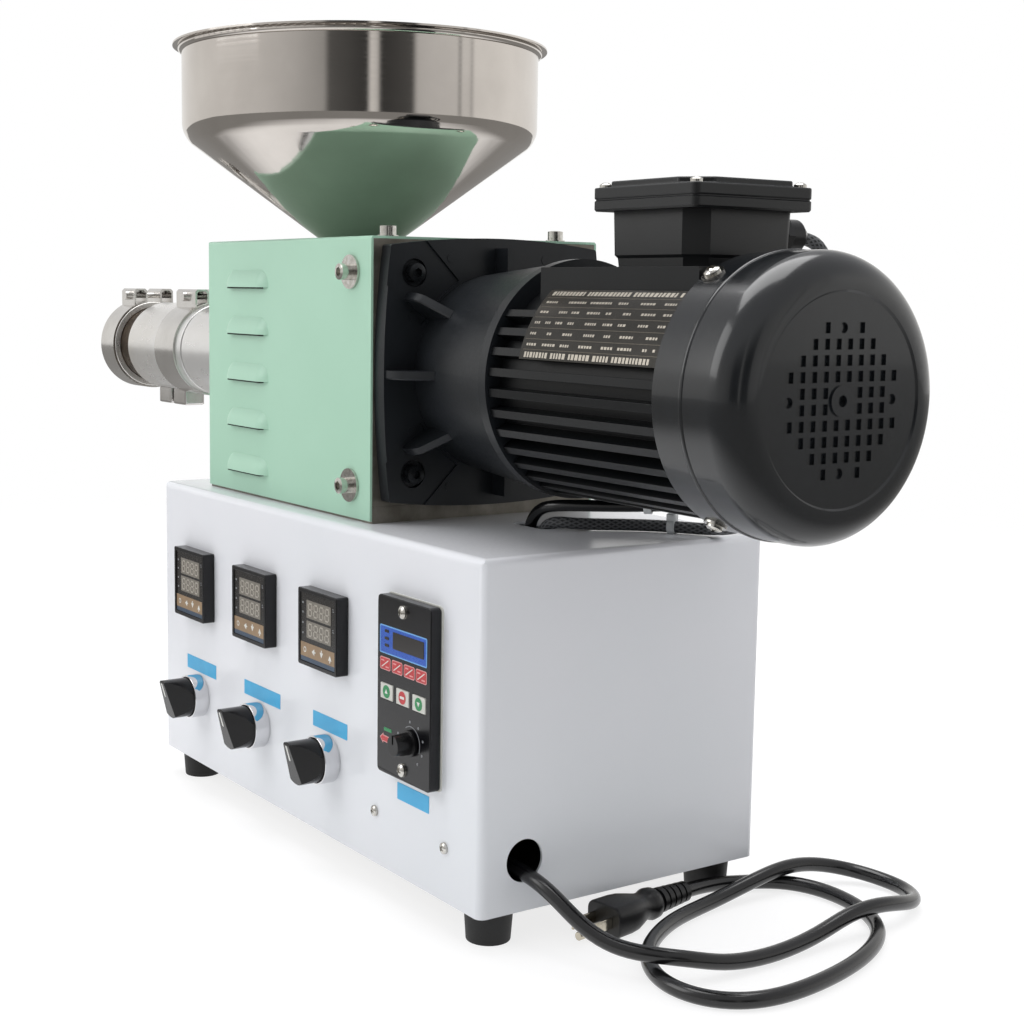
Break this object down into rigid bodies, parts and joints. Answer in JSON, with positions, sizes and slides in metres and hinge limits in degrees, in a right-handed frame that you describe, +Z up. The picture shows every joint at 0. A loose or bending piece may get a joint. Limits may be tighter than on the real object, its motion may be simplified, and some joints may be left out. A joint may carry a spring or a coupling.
{
  "type": "desktop filament extruder",
  "caption": "Desktop filament extruder: a spun hopper feeds a heated barrel, driven by a flange-mounted gear motor, on a sheet-metal control cabinet with a power cord.",
  "frame": {"origin": "on the floor, under the middle of the machine's bounding box without its power cord", "axes": "+X along the barrel's axis towards the motor's fan, -Y towards the operator who faces the controls, +Z up"},
  "size_m": [0.8536, 0.3012, 0.5185],
  "materials": {
    "white_paint": "satin powder coat",
    "plated_steel": "zinc-plated, satin",
    "foot_rubber": "matte",
    "black_plastic": "fine texture",
    "chrome": "polished",
    "gloss_black": "semi-gloss",
    "white_rubber": "matte",
    "key_plastic": "matte",
    "green_paint": "satin powder coat",
    "bare_steel": "ground",
    "stainless": "spun and brushed",
    "brass": "turned",
    "heater_steel": "rolled sheet, slightly stained",
    "motor_paint": "semi-gloss over casting",
    "cowl_paint": "gloss",
    "fan_plastic": "matte",
    "box_plastic": "fine texture",
    "cable_rubber": "smooth, semi-matte",
    "prong_metal": "nickel-plated"
  },
  "bodies": {
    "machine": {"cabinet_shell": "white_paint", "cabinet_floor": "plated_steel", "feet": "foot_rubber", "controller_left": "black_plastic", "controller_middle": "black_plastic", "controller_right": "black_plastic", "ring_left": "chrome", "ring_middle": "chrome", "ring_right": "chrome", "speed_gasket": "white_rubber", "speed_panel": "black_plastic", "speed_keys": "key_plastic", "feed_cover": "green_paint", "base_plate": "plated_steel", "motor_plate": "plated_steel", "barrel_plate": "plated_steel", "feed_block": "bare_steel", "feed_screw": "bare_steel", "hopper": "stainless", "barrel": "bare_steel", "nozzle": "brass", "heater_rear": "heater_steel", "heater_mid": "heater_steel", "heater_front": "heater_steel", "strap_mid": "stainless", "strap_front": "stainless", "heater_terminals": "stainless", "motor_flange": "motor_paint", "motor_body": "motor_paint", "fan_cover": "cowl_paint", "terminal_box": "box_plastic", "terminal_box_lid": "box_plastic", "cable_glands": "black_plastic", "motor_leads": "cable_rubber", "power_cord": "cable_rubber", "cord_plug": "cable_rubber", "plug_prongs": "prong_metal"},
    "handle_left": {"handle_left": "gloss_black"},
    "handle_middle": {"handle_middle": "gloss_black"},
    "handle_right": {"handle_right": "gloss_black"},
    "knob": {"speed_knob": "gloss_black"},
    "fan": {"cooling_fan": "fan_plastic"}
  },
  "joints": [
    {"name": "left_switch_turn", "type": "hinge", "parent": "machine", "child": "handle_left", "pos_m": [-0.07525, -0.1095, 0.0695], "axis": [0, 1, 0], "range_deg": [0, 90]},
    {"name": "middle_switch_turn", "type": "hinge", "parent": "machine", "child": "handle_middle", "pos_m": [0.01725, -0.1095, 0.0695], "axis": [0, 1, 0], "range_deg": [0, 90]},
    {"name": "right_switch_turn", "type": "hinge", "parent": "machine", "child": "handle_right", "pos_m": [0.10975, -0.1095, 0.0695], "axis": [0, 1, 0], "range_deg": [0, 90]},
    {"name": "speed_turn", "type": "hinge", "parent": "machine", "child": "knob", "pos_m": [0.21725, -0.107, 0.1055], "axis": [0, 1, 0], "range_deg": [-150, 150]},
    {"name": "fan_spin", "type": "hinge", "parent": "machine", "child": "fan", "pos_m": [0.38875, 0.001, 0.306], "axis": [1, 0, 0], "continuous": true}
  ]
}
